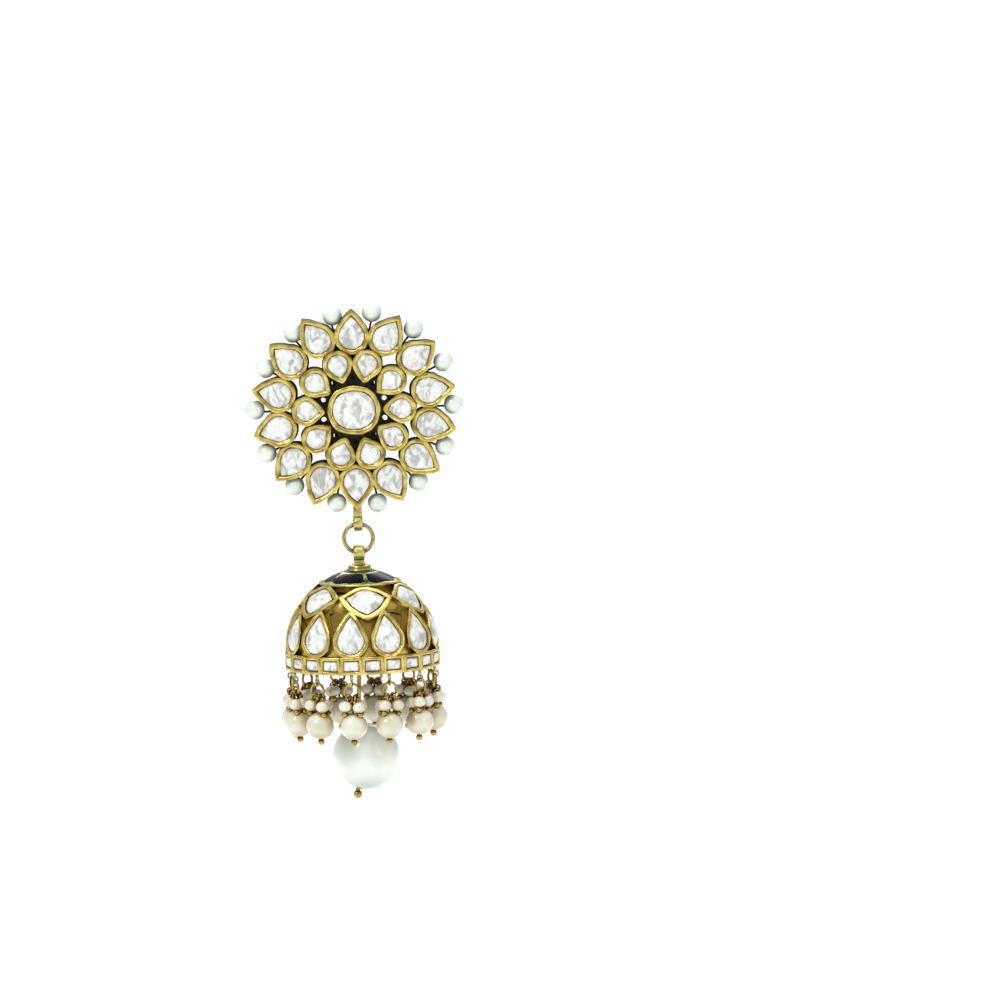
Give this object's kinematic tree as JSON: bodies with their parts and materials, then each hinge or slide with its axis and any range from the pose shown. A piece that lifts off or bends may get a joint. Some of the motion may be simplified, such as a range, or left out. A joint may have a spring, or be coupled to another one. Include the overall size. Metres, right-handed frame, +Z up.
{
  "type": "jhumka drop earring",
  "caption": "Long drop earring: a round petal stud edged with pearls, a ring, and a pierced stone-set bell with a pearl fringe and one large pearl.",
  "frame": {"origin": "root of the ear post, where it leaves the flat back of the stud", "axes": "+Z up along the hanging length, +Y out of the back along the ear post, so the front faces -Y"},
  "size_m": [0.0346, 0.0274, 0.0798],
  "materials": {
    "gold": "polished yellow gold with soft hand-worked rims",
    "antique_gold": "darker, worn gold wire",
    "polki_stone": "uncut diamond slice over silver foil, grey and white",
    "pearl": "cultured pearl, satin lustre, with gold wire and ball ends",
    "enamel": "navy and green glossy enamel on the bell's cap"
  },
  "bodies": {
    "stud": {"stud_frame": "gold", "ear_post": "gold", "centre_stone": "polki_stone", "inner_stone_01": "polki_stone", "inner_stone_02": "polki_stone", "inner_stone_03": "polki_stone", "inner_stone_04": "polki_stone", "inner_stone_05": "polki_stone", "inner_stone_06": "polki_stone", "inner_stone_07": "polki_stone", "inner_stone_08": "polki_stone", "inner_stone_09": "polki_stone", "inner_stone_10": "polki_stone", "outer_stone_01": "polki_stone", "outer_stone_02": "polki_stone", "outer_stone_03": "polki_stone", "outer_stone_04": "polki_stone", "outer_stone_05": "polki_stone", "outer_stone_06": "polki_stone", "outer_stone_07": "polki_stone", "outer_stone_08": "polki_stone", "outer_stone_09": "polki_stone", "outer_stone_10": "polki_stone", "outer_stone_11": "polki_stone", "outer_stone_12": "polki_stone", "outer_stone_13": "polki_stone", "outer_stone_14": "polki_stone", "edge_pearls": "pearl"},
    "ring": {"hanging_ring": "antique_gold"},
    "bell": {"bell_frame": "gold", "marquise_stone_01": "polki_stone", "marquise_stone_02": "polki_stone", "marquise_stone_03": "polki_stone", "marquise_stone_04": "polki_stone", "marquise_stone_05": "polki_stone", "marquise_stone_06": "polki_stone", "fringe_drop_01": "pearl", "fringe_drop_02": "pearl", "fringe_drop_03": "pearl", "fringe_drop_04": "pearl", "fringe_drop_05": "pearl", "fringe_drop_06": "pearl", "fringe_drop_07": "pearl", "fringe_drop_08": "pearl", "fringe_drop_09": "pearl", "fringe_drop_10": "pearl", "fringe_drop_11": "pearl", "fringe_drop_12": "pearl"},
    "pearl": {"drop_pin": "gold", "drop_pearl": "pearl"}
  },
  "joints": [
    {"name": "ring_swing", "type": "hinge", "parent": "stud", "child": "ring", "pos_m": [0, -0.0021, -0.02388], "axis": [1, 0, 0], "range_deg": [-60, 60]},
    {"name": "bell_sway", "type": "hinge", "parent": "ring", "child": "bell", "pos_m": [0, -0.0021, -0.02619], "axis": [0, 1, 0], "range_deg": [-35, 35]},
    {"name": "pearl_swing", "type": "hinge", "parent": "bell", "child": "pearl", "pos_m": [0, -0.0021, -0.03396], "axis": [1, 0, 0], "range_deg": [-12, 12]}
  ]
}
